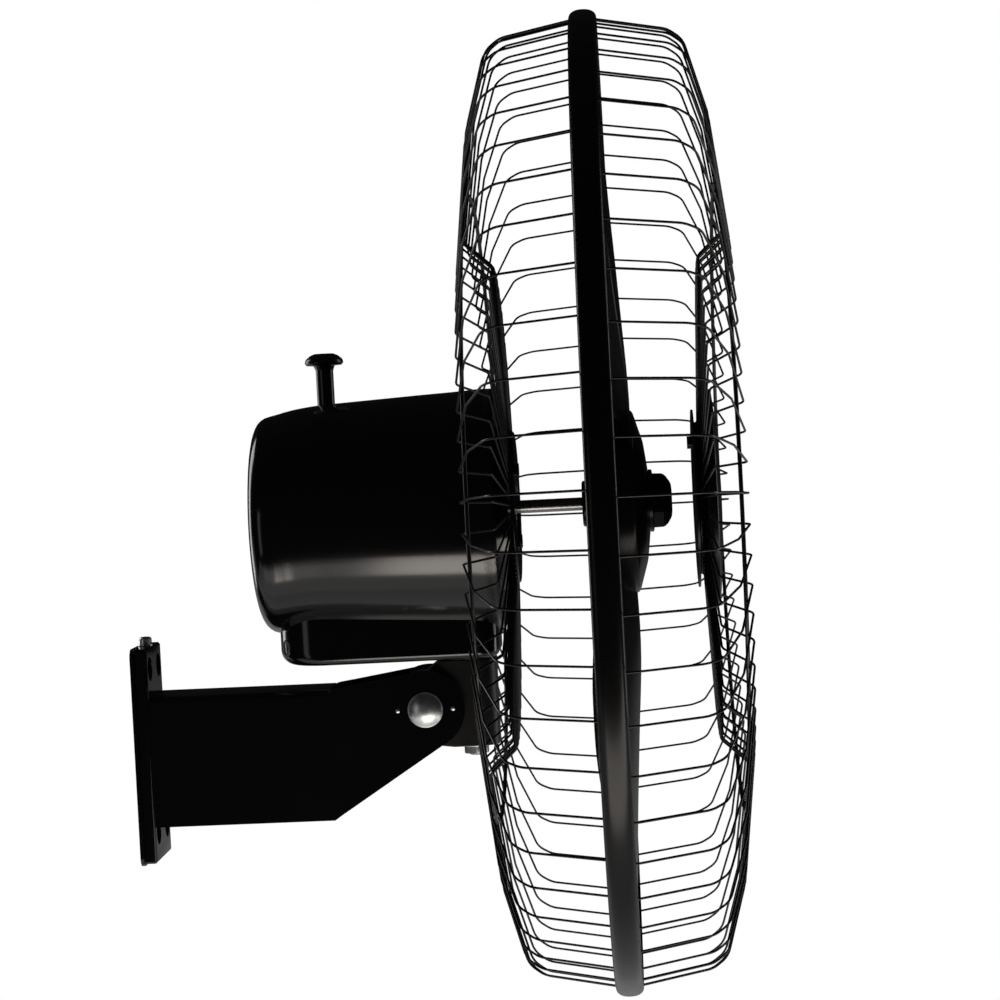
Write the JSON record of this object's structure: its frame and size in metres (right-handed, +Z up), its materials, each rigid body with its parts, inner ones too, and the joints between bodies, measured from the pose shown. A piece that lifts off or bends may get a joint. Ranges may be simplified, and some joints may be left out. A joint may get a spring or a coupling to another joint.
{
  "type": "wall mounted oscillating fan",
  "caption": "Wall mounted oscillating fan: round wire cage with blades, tapered motor housing with pull knob, tilting pivot and folded steel arm on a wall plate.",
  "frame": {"origin": "midway between the four wall holes, on the wall plate's back face, which lies against the wall", "axes": "+X out of the wall, the way the air blows at rest; +Z up; +Y to the left of someone facing the wall's outward side"},
  "size_m": [0.3732, 0.593, 0.5929],
  "materials": {
    "bracket_black": "gloss powder coat",
    "cover_black": "high gloss enamel",
    "wire_black": "gloss powder coat on wire",
    "rim_black": "gloss powder coat",
    "wheel_black": "moulded plastic",
    "badge_black": "gloss plastic",
    "knob_black": "moulded plastic",
    "zinc": "bright zinc plate",
    "steel": "ground steel",
    "cast_alloy": "die cast",
    "black_alloy": "black painted die casting",
    "laminations": "stacked sheet",
    "copper": "enamelled winding",
    "bronze": "sintered bush",
    "black_rubber": "moulded rubber",
    "gear_nylon": "moulded nylon",
    "capacitor_grey": "moulded case"
  },
  "bodies": {
    "wall_bracket": {"wall_plate": "bracket_black", "arm_tray": "bracket_black", "lock_screw": "zinc", "support_arm": "bracket_black", "friction_plates": "zinc", "ear_rivets": "zinc", "tilt_bolt": "zinc", "tilt_washer": "zinc", "tilt_nut": "zinc"},
    "tilt_block": {"pivot_block": "black_alloy", "pivot_bushes": "bronze", "thrust_washer": "gear_nylon", "link_anchor": "steel"},
    "motor_head": {"gear_case": "black_alloy", "cord_grommet": "black_rubber", "pivot_pin": "steel", "pivot_washer": "zinc", "pivot_nut": "zinc", "motor_cover": "cover_black", "cover_posts": "zinc", "cover_screws": "zinc", "front_shield": "black_alloy", "rear_shield": "cast_alloy", "shaft_bearings": "bronze", "stator_core": "laminations", "stator_windings": "copper", "long_bolts": "steel", "run_capacitor": "capacitor_grey", "terminal_block": "capacitor_grey", "gearbox_body": "cast_alloy", "gearbox_lid": "cast_alloy", "crank_axle": "steel", "rear_guard_wires": "wire_black", "rear_outer_ring": "wire_black", "rear_support_ring": "wire_black", "rear_inner_ring": "wire_black", "front_guard_wires": "wire_black", "front_outer_ring": "wire_black", "front_support_ring": "wire_black", "front_inner_ring": "wire_black", "rim_band": "rim_black", "guard_clamp": "wire_black", "guard_screws": "zinc", "badge_plate": "badge_black", "badge_clamp": "badge_black", "badge_screw": "badge_black"},
    "fan_rotor": {"motor_shaft": "steel", "rotor_core": "laminations", "fan_wheel": "wheel_black", "nose_nut": "wheel_black"},
    "worm_gear": {"worm_wheel": "gear_nylon"},
    "clutch": {"clutch_spindle": "steel"},
    "knob": {"clutch_knob": "knob_black", "knob_rod": "steel"},
    "crank": {"crank_gear": "gear_nylon", "crank_pin": "steel"},
    "link": {"link_arm": "zinc"}
  },
  "joints": [
    {"name": "head_tilt", "type": "hinge", "parent": "wall_bracket", "child": "tilt_block", "pos_m": [0.1774, 0, 0.018], "axis": [0, 1, 0], "range_deg": [-5, 22]},
    {"name": "head_swing", "type": "hinge", "parent": "tilt_block", "child": "motor_head", "pos_m": [0.206, 0, 0.047], "axis": [0, 0, 1], "range_deg": [-40, 40]},
    {"name": "fan_spin", "type": "hinge", "parent": "motor_head", "child": "fan_rotor", "pos_m": [0.298, 0, 0.137], "axis": [1, 0, 0], "continuous": true},
    {"name": "worm_wheel_turn", "type": "hinge", "parent": "motor_head", "child": "worm_gear", "pos_m": [0.123, 0.0154, 0.137], "axis": [0, 0, 1], "continuous": true},
    {"name": "clutch_turn", "type": "hinge", "parent": "motor_head", "child": "clutch", "pos_m": [0.123, 0.0154, 0.137], "axis": [0, 0, 1], "range_deg": [-432, 432]},
    {"name": "knob_pull", "type": "slide", "parent": "motor_head", "child": "knob", "axis": [0, 0, 1], "range_m": [0, 0.007]},
    {"name": "crank_turn", "type": "hinge", "parent": "motor_head", "child": "crank", "pos_m": [0.14757, 0, 0.06], "axis": [0, 0, 1], "range_deg": [-90, 90]},
    {"name": "link_turn", "type": "hinge", "parent": "crank", "child": "link", "pos_m": [0.14757, -0.00771, 0.054], "axis": [0, 0, 1], "range_deg": [-90, 90]}
  ],
  "couplings": [
    {"joint": "worm_wheel_turn", "follows": "fan_spin", "ratio": 0.027778},
    {"joint": "crank_turn", "follows": "head_swing", "ratio": -2.25},
    {"joint": "clutch_turn", "follows": "head_swing", "ratio": 10.8},
    {"joint": "link_turn", "follows": "head_swing", "ratio": 2.25}
  ]
}
